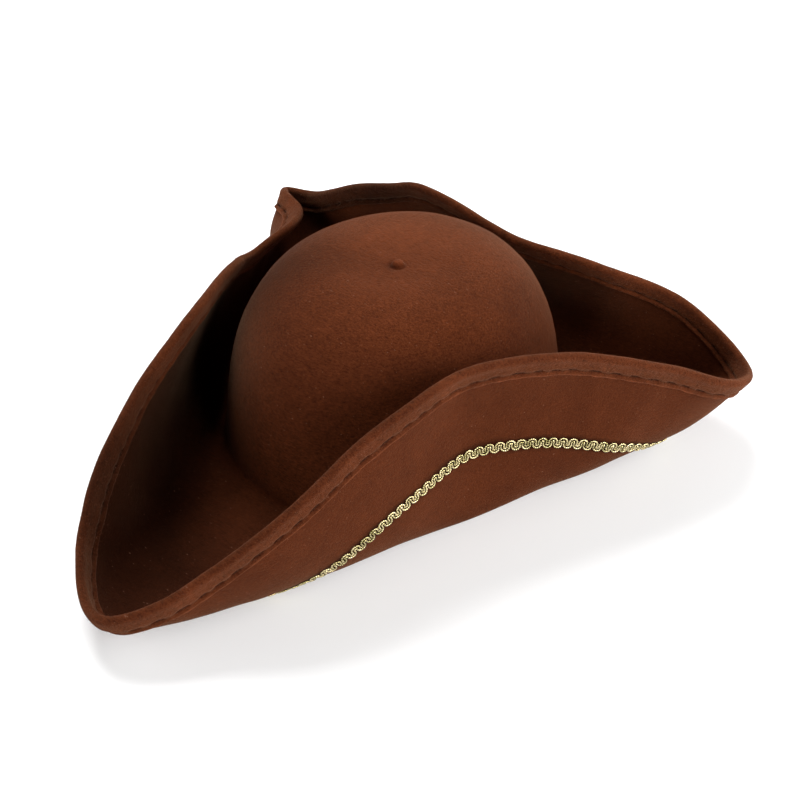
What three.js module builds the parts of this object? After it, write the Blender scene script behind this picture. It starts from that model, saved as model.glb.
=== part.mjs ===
import * as THREE from "three";

// A three-cornered felt hat lying on its brim, in millimetres, with Z up and the front corner towards -Y.
// Shapes are drawn round the middle of the head opening, and the whole hat is moved at the end.
// The felt is one moulded sheet. Shapes are worked out on its middle surface, half a thickness from each face.
const feltThickness = 2.2;

// Crown, measured on the outside.
const crownLength = 192.5;
const crownWidth = 182.5;
const crownHeight = 106.5;
const wallHeight = 10;
const crownTaper = 0.06;
const roundnessAcross = 4.0;
const roundnessUp = 2.65;
const crownLeanSide = 0.024;
const crownLeanBack = 0.033;
const crownFillet = 3.6;

// Small moulded pimple on the crown's top, measured from the head opening's centre.
const pimpleWidth = 7.4;
const pimpleHeight = 1.9;
const pimpleSide = 8.5;
const pimpleFront = 2;

// Brim: a flat ring that rests on the table, and three flaps folded up between three corners.
const restRing = 1.6;
const brimWidth = 108;
const flapHeight = 90;
const edgeStiffness = 0.376;
const footLift = 0.2;
const lateSteepness = 6;

// Felt binding folded over the rim.
const bindingDepth = 11.5;
const bindingThickness = 1.2;
const clearance = 0.3;

// Gold braid sewn to the outer face of the flaps.
const braidFromRim = 56;
const braidWidth = 6;
const braidThickness = 1.2;

// Folds of the brim, one row for each section round the hat.
// at: degrees anticlockwise from the front corner, seen from above.
// reach: how far the rim stands out from the crown's base, as a share of the brim's width.
// rise: the rim's height over the brim's flat ring, as a share of the flap height.
// lean: slope of the felt at the rim, 90 being upright and more than 90 leaning over the crown.
// swing: how far the rim is drawn round anticlockwise, as a share of the brim's width.
// belly: how far the felt runs out along the table before it turns up, as a share of the fold's chord.
// late: share of the swing that comes only close to the rim, so that the felt below it stands out.
const folds = [
  { at: 0, reach: 1.17, rise: 0.23, lean: 85, swing: 0.05, belly: 0.73, late: 0 },
  { at: 5, reach: 1.2, rise: 0.255, lean: 90, swing: 0.025, belly: 0.74, late: 0 },
  { at: 12, reach: 1.07, rise: 0.35, lean: 85, swing: -0.02, belly: 0.76, late: 0 },
  { at: 20, reach: 0.88, rise: 0.47, lean: 80, swing: -0.12, belly: 0.75, late: 0 },
  { at: 30, reach: 0.66, rise: 0.715, lean: 85, swing: -0.14, belly: 0.64, late: 0 },
  { at: 48, reach: 0.33, rise: 0.99, lean: 91, swing: -0.21, belly: 0.26, late: 0 },
  { at: 68, reach: 0.075, rise: 1.1, lean: 72, swing: -0.065, belly: 0.09, late: 0 },
  { at: 88, reach: 0.23, rise: 1.02, lean: 69, swing: 0.14, belly: 0.23, late: 0 },
  { at: 106, reach: 0.6, rise: 0.8, lean: 58, swing: 0.13, belly: 0.57, late: 0 },
  { at: 120, reach: 0.885, rise: 0.56, lean: 54, swing: 0, belly: 0.65, late: 0 },
  { at: 134, reach: 0.93, rise: 0.39, lean: 64, swing: -0.05, belly: 0.57, late: 0 },
  { at: 148, reach: 0.65, rise: 0.62, lean: 94, swing: -0.16, belly: 0.57, late: 0 },
  { at: 164, reach: 0.195, rise: 0.83, lean: 105, swing: -0.27, belly: 0.54, late: 0 },
  { at: 182, reach: -0.05, rise: 0.87, lean: 106, swing: -0.11, belly: 0.49, late: 0 },
  { at: 202, reach: 0.015, rise: 1.01, lean: 108, swing: 0.185, belly: 0.39, late: 0 },
  { at: 213, reach: 0.165, rise: 0.91, lean: 98, swing: 0.19, belly: 0.42, late: 0 },
  { at: 222, reach: 0.37, rise: 0.78, lean: 86, swing: 0.215, belly: 0.55, late: 0 },
  { at: 229, reach: 0.555, rise: 0.64, lean: 80, swing: 0.175, belly: 0.62, late: 0 },
  { at: 235, reach: 0.73, rise: 0.52, lean: 74, swing: 0.095, belly: 0.65, late: 0 },
  { at: 240, reach: 0.86, rise: 0.46, lean: 68, swing: 0.01, belly: 0.65, late: 0 },
  { at: 244, reach: 0.96, rise: 0.44, lean: 66, swing: -0.035, belly: 0.65, late: 0.4 },
  { at: 248, reach: 0.865, rise: 0.478, lean: 100, swing: -0.125, belly: 0.65, late: 0.8 },
  { at: 253, reach: 0.655, rise: 0.495, lean: 126, swing: -0.255, belly: 0.7, late: 0.68 },
  { at: 258, reach: 0.48, rise: 0.53, lean: 132, swing: -0.295, belly: 0.82, late: 0.5 },
  { at: 262, reach: 0.38, rise: 0.555, lean: 130, swing: -0.27, belly: 0.92, late: 0.35 },
  { at: 266, reach: 0.355, rise: 0.54, lean: 124, swing: -0.22, belly: 0.94, late: 0.2 },
  { at: 271, reach: 0.32, rise: 0.53, lean: 115, swing: -0.175, belly: 0.88, late: 0.1 },
  { at: 278, reach: 0.24, rise: 0.61, lean: 113, swing: -0.14, belly: 0.76, late: 0 },
  { at: 292, reach: 0.01, rise: 0.88, lean: 112, swing: -0.07, belly: 0.55, late: 0 },
  { at: 310, reach: 0.08, rise: 0.94, lean: 99, swing: 0.18, belly: 0.46, late: 0 },
  { at: 328, reach: 0.445, rise: 0.74, lean: 76, swing: 0.24, belly: 0.54, late: 0 },
  { at: 346, reach: 0.88, rise: 0.44, lean: 46, swing: 0.14, belly: 0.63, late: 0 },
  { at: 354, reach: 1.03, rise: 0.3, lean: 65, swing: 0.035, belly: 0.68, late: 0 },
];

// How finely the shapes are cut up.
const columnStep = 4.5;
const crownRings = 8;
const filletRings = 3;
const innerBrimRings = 4;
const outerBrimRings = 3;
const arcSteps = 60;

const halfFelt = feltThickness / 2;
const middleHeight = crownHeight - feltThickness;

// Slope of one column at each row: the parabola through the row and its two neighbours.
function slopesOf(key) {
  const count = folds.length;
  const gap = (i) => (i + 1 < count ? folds[i + 1].at : folds[0].at + 360) - folds[i].at;
  const rate = (i) => (folds[(i + 1) % count][key] - folds[i][key]) / gap(i);
  return folds.map((row, i) => {
    const before = (i + count - 1) % count;
    return (rate(before) * gap(i) + rate(i) * gap(before)) / (gap(i) + gap(before));
  });
}

const foldKeys = ["reach", "rise", "lean", "swing", "belly", "late"];
const slopes = Object.fromEntries(foldKeys.map((key) => [key, slopesOf(key)]));

// Values of the fold table at any angle, by a smooth curve through the rows.
function foldAt(at) {
  const turn = ((at % 360) + 360) % 360;
  let i = folds.length - 1;
  while (folds[i].at > turn) i -= 1;
  const next = (i + 1) % folds.length;
  const span = (next === 0 ? 360 : folds[next].at) - folds[i].at;
  const t = (turn - folds[i].at) / span;
  const fold = {};
  for (const key of foldKeys) {
    fold[key] =
      (2 * t ** 3 - 3 * t ** 2 + 1) * folds[i][key] +
      (t ** 3 - 2 * t ** 2 + t) * span * slopes[key][i] +
      (3 * t ** 2 - 2 * t ** 3) * folds[next][key] +
      (t ** 3 - t ** 2) * span * slopes[key][next];
  }
  return fold;
}

const angleOf = (at) => ((270 + at) * Math.PI) / 180;

// Distance from the axis to the oval round the crown's base, drawn in by inset.
function ovalRadius(angle, inset) {
  const across = Math.cos(angle) / (crownWidth / 2 - inset);
  const along = Math.sin(angle) / (crownLength / 2 - inset);
  return 1 / Math.hypot(across, along);
}

// Crown from its top, share 0, to the start of the straight wall, share 1.
function crownPoint(at, share) {
  const angle = angleOf(at);
  const quarter = ((1 - share ** 2) * Math.PI) / 2;
  const level = wallHeight + (middleHeight - wallHeight) * Math.sin(quarter) ** (2 / roundnessUp);
  const above = level - crownFillet;
  const narrowing = 1 - (crownTaper * above) / (middleHeight - crownFillet);
  const spread = Math.max(Math.cos(quarter), 0) ** (2 / roundnessAcross) * narrowing;
  const radius = ovalRadius(angle, halfFelt) * spread;
  const towardsTop = (1 - Math.min(share, 1)) ** 2;
  const leanX = crownLeanSide * above;
  const leanY = crownLeanBack * above;
  return new THREE.Vector3(
    radius * Math.cos(angle) + leanX + towardsTop * (pimpleSide - leanX),
    radius * Math.sin(angle) + leanY + towardsTop * (-pimpleFront - leanY),
    halfFelt + level,
  );
}

// Rounded foot of the crown, from the wall at share 0 to the flat ring at share 1.
function footPoint(at, share) {
  const angle = angleOf(at);
  const bend = (share * Math.PI) / 2;
  const radius = ovalRadius(angle, halfFelt) + crownFillet * (1 - Math.cos(bend));
  const level = crownFillet * (1 - Math.sin(bend));
  return new THREE.Vector3(radius * Math.cos(angle), radius * Math.sin(angle), halfFelt + level);
}

// Folded brim, from the flat ring at share 0 to the rim at share 1.
function brimPoint(at, share) {
  const fold = foldAt(at);
  const angle = angleOf(at);
  const lean = (fold.lean * Math.PI) / 180;
  const start = ovalRadius(angle, halfFelt) + crownFillet + restRing;
  const rimRadius = ovalRadius(angle, 0) + fold.reach * brimWidth;
  const rimLevel = fold.rise * flapHeight;
  const chord = Math.hypot(rimRadius - start, rimLevel);
  const hold = Math.min(edgeStiffness * chord, ((1 - footLift) * rimLevel) / Math.sin(lean));
  const rest = 1 - share;
  const radius =
    rest ** 3 * start +
    3 * rest ** 2 * share * (start + fold.belly * chord) +
    3 * rest * share ** 2 * (rimRadius - hold * Math.cos(lean)) +
    share ** 3 * rimRadius;
  const level = 3 * rest * share ** 2 * (rimLevel - hold * Math.sin(lean)) + share ** 3 * rimLevel;
  const evenly = share ** 2 * (3 - 2 * share);
  const swing = fold.swing * brimWidth * ((1 - fold.late) * evenly + fold.late * share ** lateSteepness);
  return new THREE.Vector3(
    radius * Math.cos(angle) - swing * Math.sin(angle),
    radius * Math.sin(angle) + swing * Math.cos(angle),
    halfFelt + level,
  );
}

// Normal of a surface, pointing to the hat's upper or outer side.
function normalOf(surface, at, share) {
  const step = 0.004;
  const low = Math.max(share - step, 0);
  const high = Math.min(share + step, 1);
  const along = surface(at, high).sub(surface(at, low));
  const round = surface(at + 0.3, share).sub(surface(at - 0.3, share));
  return along.cross(round).normalize();
}

// Share of the brim's curve that lies a given length of felt in from the rim.
function shareFromRim(at, length) {
  let last = brimPoint(at, 1);
  let covered = 0;
  for (let i = arcSteps - 1; i >= 0; i -= 1) {
    const point = brimPoint(at, i / arcSteps);
    const piece = point.distanceTo(last);
    if (covered + piece >= length) return (i + 1 - (length - covered) / piece) / arcSteps;
    covered += piece;
    last = point;
  }
  return 0;
}

function brimLength(at) {
  let length = 0;
  for (let i = 0; i < arcSteps; i += 1) {
    length += brimPoint(at, i / arcSteps).distanceTo(brimPoint(at, (i + 1) / arcSteps));
  }
  return length;
}

// Angles of the columns: an even number of them for each row of the fold table.
const columns = folds.flatMap((row, i) => {
  const span = (i + 1 < folds.length ? folds[i + 1].at : 360) - row.at;
  const count = 2 * Math.max(1, Math.round(span / columnStep / 2));
  return Array.from({ length: count }, (_, k) => row.at + (span * k) / count);
});

const up = new THREE.Vector3(0, 0, 1);

// Middle-surface points and normals of one crown column, from the pimple's foot down to the wall.
function crownColumn(at) {
  const column = [];
  const foot = crownPoint(at, 0);
  const angle = angleOf(at);
  for (const [size, rise] of [[0.55, 0.8], [1, 0]]) {
    const radius = (size * pimpleWidth) / 2;
    const point = foot.clone().add(new THREE.Vector3(radius * Math.cos(angle), radius * Math.sin(angle), 0));
    column.push({ point: point.addScaledVector(up, rise * pimpleHeight), normal: up });
  }
  for (let i = 1; i <= crownRings; i += 1) {
    const share = i / crownRings;
    column.push({ point: crownPoint(at, share), normal: normalOf(crownPoint, at, share) });
  }
  return column;
}

// Middle-surface points and normals of one brim column, from the crown's foot to the rim.
function brimColumn(at) {
  const column = [];
  for (let i = 0; i < filletRings; i += 1) {
    const share = i / filletRings;
    column.push({ point: footPoint(at, share), normal: normalOf(footPoint, at, share) });
  }
  column.push({ point: footPoint(at, 1), normal: up });
  column.push({ point: brimPoint(at, 0), normal: up });
  const braidIn = braidFromRim + braidWidth / 2;
  const braidOut = braidFromRim - braidWidth / 2;
  const inner = brimLength(at) - braidIn;
  const lengths = [];
  for (let i = 1; i <= innerBrimRings; i += 1) {
    lengths.push(braidIn + inner * (1 - i / innerBrimRings));
  }
  for (let i = 0; i <= outerBrimRings; i += 1) {
    lengths.push(braidOut + ((bindingDepth - braidOut) * i) / outerBrimRings);
  }
  lengths.push(0);
  for (const length of lengths) {
    const share = shareFromRim(at, length);
    column.push({ point: brimPoint(at, share), normal: normalOf(brimPoint, at, share) });
  }
  return column;
}

function makeMesh(name, points, triangles, colour) {
  const geometry = new THREE.BufferGeometry();
  geometry.setAttribute("position", new THREE.Float32BufferAttribute(points.flatMap((p) => [p.x, p.y, p.z]), 3));
  geometry.setIndex(triangles);
  geometry.computeVertexNormals();
  const mesh = new THREE.Mesh(geometry, new THREE.MeshStandardMaterial({ color: colour, roughness: 0.95 }));
  mesh.name = name;
  return mesh;
}

// Crown, brim and pimple in one sheet: an upper and a lower skin joined along the rim.
function makeFelt() {
  const points = [];
  const triangles = [];
  const add = (point) => points.push(point) - 1;
  const brimColumns = columns.map(brimColumn);
  const crownColumns = columns.filter((_, i) => i % 2 === 0).map(crownColumn);
  const top = crownPoint(0, 0).addScaledVector(up, pimpleHeight);
  const rims = [];
  for (const side of [1, -1]) {
    const place = ({ point, normal }) => add(point.clone().addScaledVector(normal, side * halfFelt));
    const face = (a, b, c) => triangles.push(...(side > 0 ? [a, b, c] : [a, c, b]));
    const pole = place({ point: top, normal: up });
    const crown = crownColumns.map((column) => column.map(place));
    const brim = brimColumns.map((column) => column.map(place));
    const strip = (left, right) => {
      for (let i = 0; i + 1 < left.length; i += 1) {
        face(left[i], left[i + 1], right[i + 1]);
        face(left[i], right[i + 1], right[i]);
      }
    };
    crown.forEach((left, j) => {
      const right = crown[(j + 1) % crown.length];
      face(pole, left[0], right[0]);
      strip(left, right);
      const low = left[left.length - 1];
      const lowNext = right[right.length - 1];
      const [a, b, c] = [2 * j, 2 * j + 1, 2 * j + 2].map((k) => brim[k % brim.length][0]);
      face(low, a, b);
      face(low, b, lowNext);
      face(lowNext, b, c);
    });
    brim.forEach((left, j) => strip(left, brim[(j + 1) % brim.length]));
    rims.push(brim.map((column) => column[column.length - 1]));
  }
  const [upper, lower] = rims;
  upper.forEach((a, j) => {
    const k = (j + 1) % upper.length;
    triangles.push(a, lower[j], lower[k], a, lower[k], upper[k]);
  });
  return makeMesh("felt_body", points, triangles, 0x4a2f25);
}

// A strip that follows the rim all the way round, with its section given as pairs:
// length in from the rim, and height over the felt's middle surface.
function makeRibbon(name, section, colour) {
  const points = [];
  const triangles = [];
  for (const at of columns) {
    const edge = brimPoint(at, 1);
    const outward = edge.clone().sub(brimPoint(at, 0.98)).normalize();
    for (const [length, height] of section) {
      const share = shareFromRim(at, Math.max(length, 0));
      const point = brimPoint(at, share).addScaledVector(outward, Math.max(-length, 0));
      points.push(point.addScaledVector(normalOf(brimPoint, at, share), height));
    }
  }
  const size = section.length;
  columns.forEach((_, j) => {
    const left = j * size;
    const right = ((j + 1) % columns.length) * size;
    for (let i = 0; i < size; i += 1) {
      const k = (i + 1) % size;
      const goesOut = section[k][0] < section[i][0];
      triangles.push(left + i, left + k, goesOut ? right + k : right + i);
      triangles.push(goesOut ? left + i : left + k, right + k, right + i);
    }
  });
  return makeMesh(name, points, triangles, colour);
}

const nearFace = halfFelt + clearance;
const bindingFace = nearFace + bindingThickness;
const bindingEdge = clearance + bindingThickness;
const bindingSection = [
  [bindingDepth, bindingFace],
  [0, bindingFace],
  [-bindingEdge, bindingFace / 2],
  [-bindingEdge, -bindingFace / 2],
  [0, -bindingFace],
  [bindingDepth, -bindingFace],
  [bindingDepth, -nearFace],
  [-clearance, -nearFace],
  [-clearance, nearFace],
  [bindingDepth, nearFace],
];
const braidSection = [
  [braidFromRim + braidWidth / 2, -nearFace],
  [braidFromRim - braidWidth / 2, -nearFace],
  [braidFromRim - braidWidth / 2, -nearFace - braidThickness],
  [braidFromRim + braidWidth / 2, -nearFace - braidThickness],
];

const hat = new THREE.Group();
hat.name = "tricorn_hat";
hat.add(makeFelt());
hat.add(makeRibbon("brim_binding", bindingSection, 0x553628));
hat.add(makeRibbon("gold_braid", braidSection, 0xc9a75a));

// The origin is on the table, under the middle of the hat's outline.
const outline = new THREE.Box3().setFromObject(hat);
const middle = outline.getCenter(new THREE.Vector3());
hat.position.set(-middle.x, -middle.y, -outline.min.z);

export default hat;
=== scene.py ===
import math

import bpy
import numpy as np
from mathutils import Matrix


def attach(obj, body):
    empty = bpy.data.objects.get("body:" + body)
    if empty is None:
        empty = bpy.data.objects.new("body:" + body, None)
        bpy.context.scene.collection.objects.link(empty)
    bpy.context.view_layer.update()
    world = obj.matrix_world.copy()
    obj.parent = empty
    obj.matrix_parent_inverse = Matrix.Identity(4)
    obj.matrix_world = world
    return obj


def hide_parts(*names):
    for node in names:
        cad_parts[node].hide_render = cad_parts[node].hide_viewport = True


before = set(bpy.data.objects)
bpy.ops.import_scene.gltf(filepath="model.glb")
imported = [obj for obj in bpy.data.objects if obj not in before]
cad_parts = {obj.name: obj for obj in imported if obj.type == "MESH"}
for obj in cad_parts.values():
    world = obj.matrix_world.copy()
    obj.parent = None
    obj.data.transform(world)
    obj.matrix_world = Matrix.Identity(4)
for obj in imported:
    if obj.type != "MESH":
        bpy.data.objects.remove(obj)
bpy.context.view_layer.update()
print("frame loaded:", sorted(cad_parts))

# Shapes are worked out in millimetres round the middle of the head opening, as in the CAD source,
# then moved by placeInFrame and turned into metres.
millimetre = 0.001
placeInFrame = np.array([5.716, 45.112, 0.0])

hatShape = {
    "feltThickness": 2.2,
    "crownLength": 192.5,
    "crownWidth": 182.5,
    "crownHeight": 106.5,
    "wallHeight": 10,
    "crownTaper": 0.06,
    "roundnessAcross": 4.0,
    "roundnessUp": 2.65,
    "crownLeanSide": 0.024,
    "crownLeanBack": 0.033,
    "crownFillet": 3.6,
    "pimpleSide": 8.5,
    "pimpleFront": 2,
    "restRing": 1.6,
    "brimWidth": 108,
    "flapHeight": 90,
    "edgeStiffness": 0.376,
    "footLift": 0.2,
    "lateSteepness": 6,
}
halfFelt = hatShape["feltThickness"] / 2
middleHeight = hatShape["crownHeight"] - hatShape["feltThickness"]
arcSteps = 240  # steps in which lengths along the brim's curve are added up
fineTurn = np.linspace(0, 360, 3601)

# Folds of the brim: degrees round from the front corner; reach and swing in brim widths; rise in flap
# heights; lean of the rim in degrees; belly, the bend at the foot; late, the share of the swing that
# comes only close to the rim.
folds = np.array([
    [0, 1.17, 0.23, 85, 0.05, 0.73, 0],
    [5, 1.2, 0.255, 90, 0.025, 0.74, 0],
    [12, 1.07, 0.35, 85, -0.02, 0.76, 0],
    [20, 0.88, 0.47, 80, -0.12, 0.75, 0],
    [30, 0.66, 0.715, 85, -0.14, 0.64, 0],
    [48, 0.33, 0.99, 91, -0.21, 0.26, 0],
    [68, 0.075, 1.1, 72, -0.065, 0.09, 0],
    [88, 0.23, 1.02, 69, 0.14, 0.23, 0],
    [106, 0.6, 0.8, 58, 0.13, 0.57, 0],
    [120, 0.885, 0.56, 54, 0, 0.65, 0],
    [134, 0.93, 0.39, 64, -0.05, 0.57, 0],
    [148, 0.65, 0.62, 94, -0.16, 0.57, 0],
    [164, 0.195, 0.83, 105, -0.27, 0.54, 0],
    [182, -0.05, 0.87, 106, -0.11, 0.49, 0],
    [202, 0.015, 1.01, 108, 0.185, 0.39, 0],
    [213, 0.165, 0.91, 98, 0.19, 0.42, 0],
    [222, 0.37, 0.78, 86, 0.215, 0.55, 0],
    [229, 0.555, 0.64, 80, 0.175, 0.62, 0],
    [235, 0.73, 0.52, 74, 0.095, 0.65, 0],
    [240, 0.86, 0.46, 68, 0.01, 0.65, 0],
    [244, 0.96, 0.44, 66, -0.035, 0.65, 0.4],
    [248, 0.865, 0.478, 100, -0.125, 0.65, 0.8],
    [253, 0.655, 0.495, 126, -0.255, 0.7, 0.68],
    [258, 0.48, 0.53, 132, -0.295, 0.82, 0.5],
    [262, 0.38, 0.555, 130, -0.27, 0.92, 0.35],
    [266, 0.355, 0.54, 124, -0.22, 0.94, 0.2],
    [271, 0.32, 0.53, 115, -0.175, 0.88, 0.1],
    [278, 0.24, 0.61, 113, -0.14, 0.76, 0],
    [292, 0.01, 0.88, 112, -0.07, 0.55, 0],
    [310, 0.08, 0.94, 99, 0.18, 0.46, 0],
    [328, 0.445, 0.74, 76, 0.24, 0.54, 0],
    [346, 0.88, 0.44, 46, 0.14, 0.63, 0],
    [354, 1.03, 0.3, 65, 0.035, 0.68, 0],
])


# Fold values at any angles: cubic curves through the rows, whose slopes are those of the parabola
# through each row and its two neighbours.
def foldAt(at):
    turn = np.mod(at, 360)
    rows = folds[:, 0]
    values = folds[:, 1:]
    gap = np.diff(np.append(rows, 360))[:, None]
    gapBefore = np.roll(gap, 1, axis=0)
    rate = (np.roll(values, -1, axis=0) - values) / gap
    rateBefore = np.roll(rate, 1, axis=0)
    slope = (rateBefore * gap + rate * gapBefore) / (gap + gapBefore)
    here = np.searchsorted(rows, turn, side="right") - 1
    after = (here + 1) % len(rows)
    span = gap[here]
    t = (turn - rows[here])[..., None] / span
    fold = (
        (2 * t ** 3 - 3 * t ** 2 + 1) * values[here]
        + (t ** 3 - 2 * t ** 2 + t) * span * slope[here]
        + (3 * t ** 2 - 2 * t ** 3) * values[after]
        + (t ** 3 - t ** 2) * span * slope[after]
    )
    return np.moveaxis(fold, -1, 0)


# Distance from the axis to the oval round the crown's base, drawn in by inset.
def ovalRadius(angle, inset):
    across = np.cos(angle) / (hatShape["crownWidth"] / 2 - inset)
    along = np.sin(angle) / (hatShape["crownLength"] / 2 - inset)
    return 1 / np.hypot(across, along)


# Crown: a rounded, slightly tapered and leaning oval, from its top (share 0) to its wall (share 1).
def crownPoint(at, share):
    angle = np.radians(270 + at)
    quarter = (1 - share ** 2) * np.pi / 2
    wall = hatShape["wallHeight"]
    level = wall + (middleHeight - wall) * np.abs(np.sin(quarter)) ** (2 / hatShape["roundnessUp"])
    above = level - hatShape["crownFillet"]
    narrowing = 1 - hatShape["crownTaper"] * above / (middleHeight - hatShape["crownFillet"])
    spread = np.maximum(np.cos(quarter), 0) ** (2 / hatShape["roundnessAcross"]) * narrowing
    radius = ovalRadius(angle, halfFelt) * spread
    towardsTop = (1 - np.minimum(share, 1)) ** 2
    leanX = hatShape["crownLeanSide"] * above
    leanY = hatShape["crownLeanBack"] * above
    x = radius * np.cos(angle) + leanX + towardsTop * (hatShape["pimpleSide"] - leanX)
    y = radius * np.sin(angle) + leanY + towardsTop * (-hatShape["pimpleFront"] - leanY)
    return np.stack(np.broadcast_arrays(x, y, halfFelt + level), axis=-1)


# Foot of the crown: a quarter round from the wall (share 0) to the flat ring (share 1).
def footPoint(at, share):
    angle = np.radians(270 + at)
    bend = share * np.pi / 2
    fillet = hatShape["crownFillet"]
    radius = ovalRadius(angle, halfFelt) + fillet * (1 - np.cos(bend))
    level = fillet * (1 - np.sin(bend))
    x = radius * np.cos(angle)
    y = radius * np.sin(angle)
    return np.stack(np.broadcast_arrays(x, y, halfFelt + level), axis=-1)


# Brim: a cubic curve from the flat ring (share 0) up to the rim (share 1), swung round as it rises
# by a smooth step of the share, and by its sixth power where the swing comes late.
def brimPoint(at, share):
    reach, rise, lean, swing, belly, late = foldAt(at)
    angle = np.radians(270 + at)
    lean = np.radians(lean)
    start = ovalRadius(angle, halfFelt) + hatShape["crownFillet"] + hatShape["restRing"]
    rimRadius = ovalRadius(angle, 0) + reach * hatShape["brimWidth"]
    rimLevel = rise * hatShape["flapHeight"]
    chord = np.hypot(rimRadius - start, rimLevel)
    most = (1 - hatShape["footLift"]) * rimLevel / np.sin(lean)
    hold = np.minimum(hatShape["edgeStiffness"] * chord, most)
    rest = 1 - share
    radius = (
        rest ** 3 * start
        + 3 * rest ** 2 * share * (start + belly * chord)
        + 3 * rest * share ** 2 * (rimRadius - hold * np.cos(lean))
        + share ** 3 * rimRadius
    )
    level = 3 * rest * share ** 2 * (rimLevel - hold * np.sin(lean)) + share ** 3 * rimLevel
    evenly = share ** 2 * (3 - 2 * share)
    steeply = share ** hatShape["lateSteepness"]
    drawn = swing * hatShape["brimWidth"] * ((1 - late) * evenly + late * steeply)
    x = radius * np.cos(angle) - drawn * np.sin(angle)
    y = radius * np.sin(angle) + drawn * np.cos(angle)
    return np.stack(np.broadcast_arrays(x, y, halfFelt + level), axis=-1)


# Vectors divided by their own lengths.
def unit(vectors):
    return vectors / np.maximum(np.linalg.norm(vectors, axis=-1, keepdims=True), 1e-9)


# Bell curve: e to minus the square of a value over a width.
def bell(value, width):
    return np.exp(-(value / width) ** 2)


# A slope from 0 at one value to 1 at another, flat outside them.
def ramp(value, start, end):
    return np.clip((value - start) / (end - start), 0, 1)


# Degrees between angles and a middle, the short way round.
def turnFrom(at, middle):
    return np.abs(np.mod(at - middle + 180, 360) - 180)


# Length covered at each point of a line: the distances between its points, added up.
def lengthAlong(line):
    return np.append(0, np.cumsum(np.linalg.norm(np.diff(line, axis=0), axis=1)))


# Normals on the hat's upper or outer side: the slope outwards crossed with the slope round.
def normalOf(surface, at, share):
    shareStep = 0.004
    turnStep = 0.3
    low = np.maximum(share - shareStep, 0)
    high = np.minimum(share + shareStep, 1)
    along = surface(at, high) - surface(at, low)
    turned = surface(at + turnStep, share) - surface(at - turnStep, share)
    return unit(np.cross(along, turned))


# Share of the brim's curve at given lengths of felt in from the rim: lengths added up along the
# curve of each column, and read back in between.
def shareFromRim(at, length):
    shares = np.linspace(1, 0, arcSteps + 1)
    line = brimPoint(at[:, None], shares[None, :])
    pieces = np.linalg.norm(np.diff(line, axis=1), axis=2)
    covered = np.concatenate([np.zeros((len(at), 1)), np.cumsum(pieces, axis=1)], axis=1)
    after = np.clip((covered[:, None, :] < length[:, :, None]).sum(axis=2), 1, arcSteps)
    column = np.arange(len(at))[:, None]
    low = covered[column, after - 1]
    high = covered[column, after]
    between = np.minimum((length - low) / (high - low), 1)
    return shares[after - 1] + between * (shares[after] - shares[after - 1])


# Soft unevenness of pressed felt, in millimetres: a sum of plane waves, 20 to 60 mm long, each a
# sine of the place's dot product with the wave's direction.
feltWaves = np.array([
    [0.085, 0.050, 0.070, 0.4, 1.0],
    [-0.060, 0.120, 0.040, 2.1, 0.9],
    [0.090, -0.100, 0.120, 4.0, 0.7],
    [0.170, 0.120, -0.100, 1.2, 0.5],
    [-0.190, 0.140, 0.150, 5.3, 0.4],
    [0.050, 0.210, -0.180, 3.0, 0.35],
])


def unevenness(points, strength):
    waves = np.sin(points @ feltWaves[:, :3].T + feltWaves[:, 3]) * feltWaves[:, 4]
    return strength * waves.sum(axis=-1)


# A point on the brim, given by its angle, the length of felt in from the rim, and its height over
# the felt's middle. Negative lengths stand out past the rim.
def onBrim(at, length, height):
    share = shareFromRim(at, np.maximum(length, 0))
    column = at[:, None]
    nearRim = 0.98
    outward = unit(brimPoint(column, 1.0) - brimPoint(column, nearRim))
    past = np.maximum(-length, 0)[..., None]
    points = brimPoint(column, share)
    lift = height + unevenness(points, feltBody["unevenness"])
    return points + outward * past + normalOf(brimPoint, column, share) * lift[..., None]


# Angles at equal steps of length along the line that runs a given length in from the rim, and the
# whole length of that line.
def anglesAlong(length, count):
    level = np.zeros((len(fineTurn), 1))
    covered = lengthAlong(onBrim(fineTurn, level + float(length), level)[:, 0])
    wanted = np.arange(count) / count * covered[-1]
    return np.interp(wanted, covered, fineTurn), covered[-1]


# Four-sided faces of a grid that is closed round its columns, and round its rows too if ringClosed.
def gridFaces(columns, rows, ringClosed=False):
    left = np.arange(columns)[:, None] * rows
    right = (np.arange(columns)[:, None] + 1) % columns * rows
    low = np.arange(rows if ringClosed else rows - 1)[None, :]
    high = (low + 1) % rows
    return np.stack([left + low, left + high, right + high, right + low], axis=-1).reshape(-1, 4)


# Puts points, given in millimetres, into a mesh piece. Faces come in arrays, one row a face.
def makePiece(name, points, faceGroups, material, replaced=(), uv=None):
    mesh = bpy.data.meshes.new(name)
    placed = (points.reshape(-1, 3) + placeInFrame) * millimetre
    faces = [face for group in faceGroups for face in group.tolist()]
    mesh.from_pydata(placed.tolist(), [], faces)
    mesh.polygons.foreach_set("use_smooth", np.ones(len(mesh.polygons), dtype=bool))
    if uv is not None:
        layer = mesh.uv_layers.new(name="along")
        layer.data.foreach_set("uv", uv.reshape(-1).astype(np.float32))
    mesh.update()
    mesh.materials.append(material)
    piece = bpy.data.objects.new(name, mesh)
    bpy.context.scene.collection.objects.link(piece)
    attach(piece, "root")
    if replaced:
        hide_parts(*replaced)
    triangles = sum(len(group) * (group.shape[1] - 2) for group in faceGroups)
    print("made", name, "with", triangles, "triangles")
    return piece


# A float value on each point of a mesh, which its material reads.
def paint(piece, name, values):
    attribute = piece.data.attributes.new(name=name, type="FLOAT", domain="POINT")
    attribute.data.foreach_set("value", values.reshape(-1).astype(np.float32))


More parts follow.
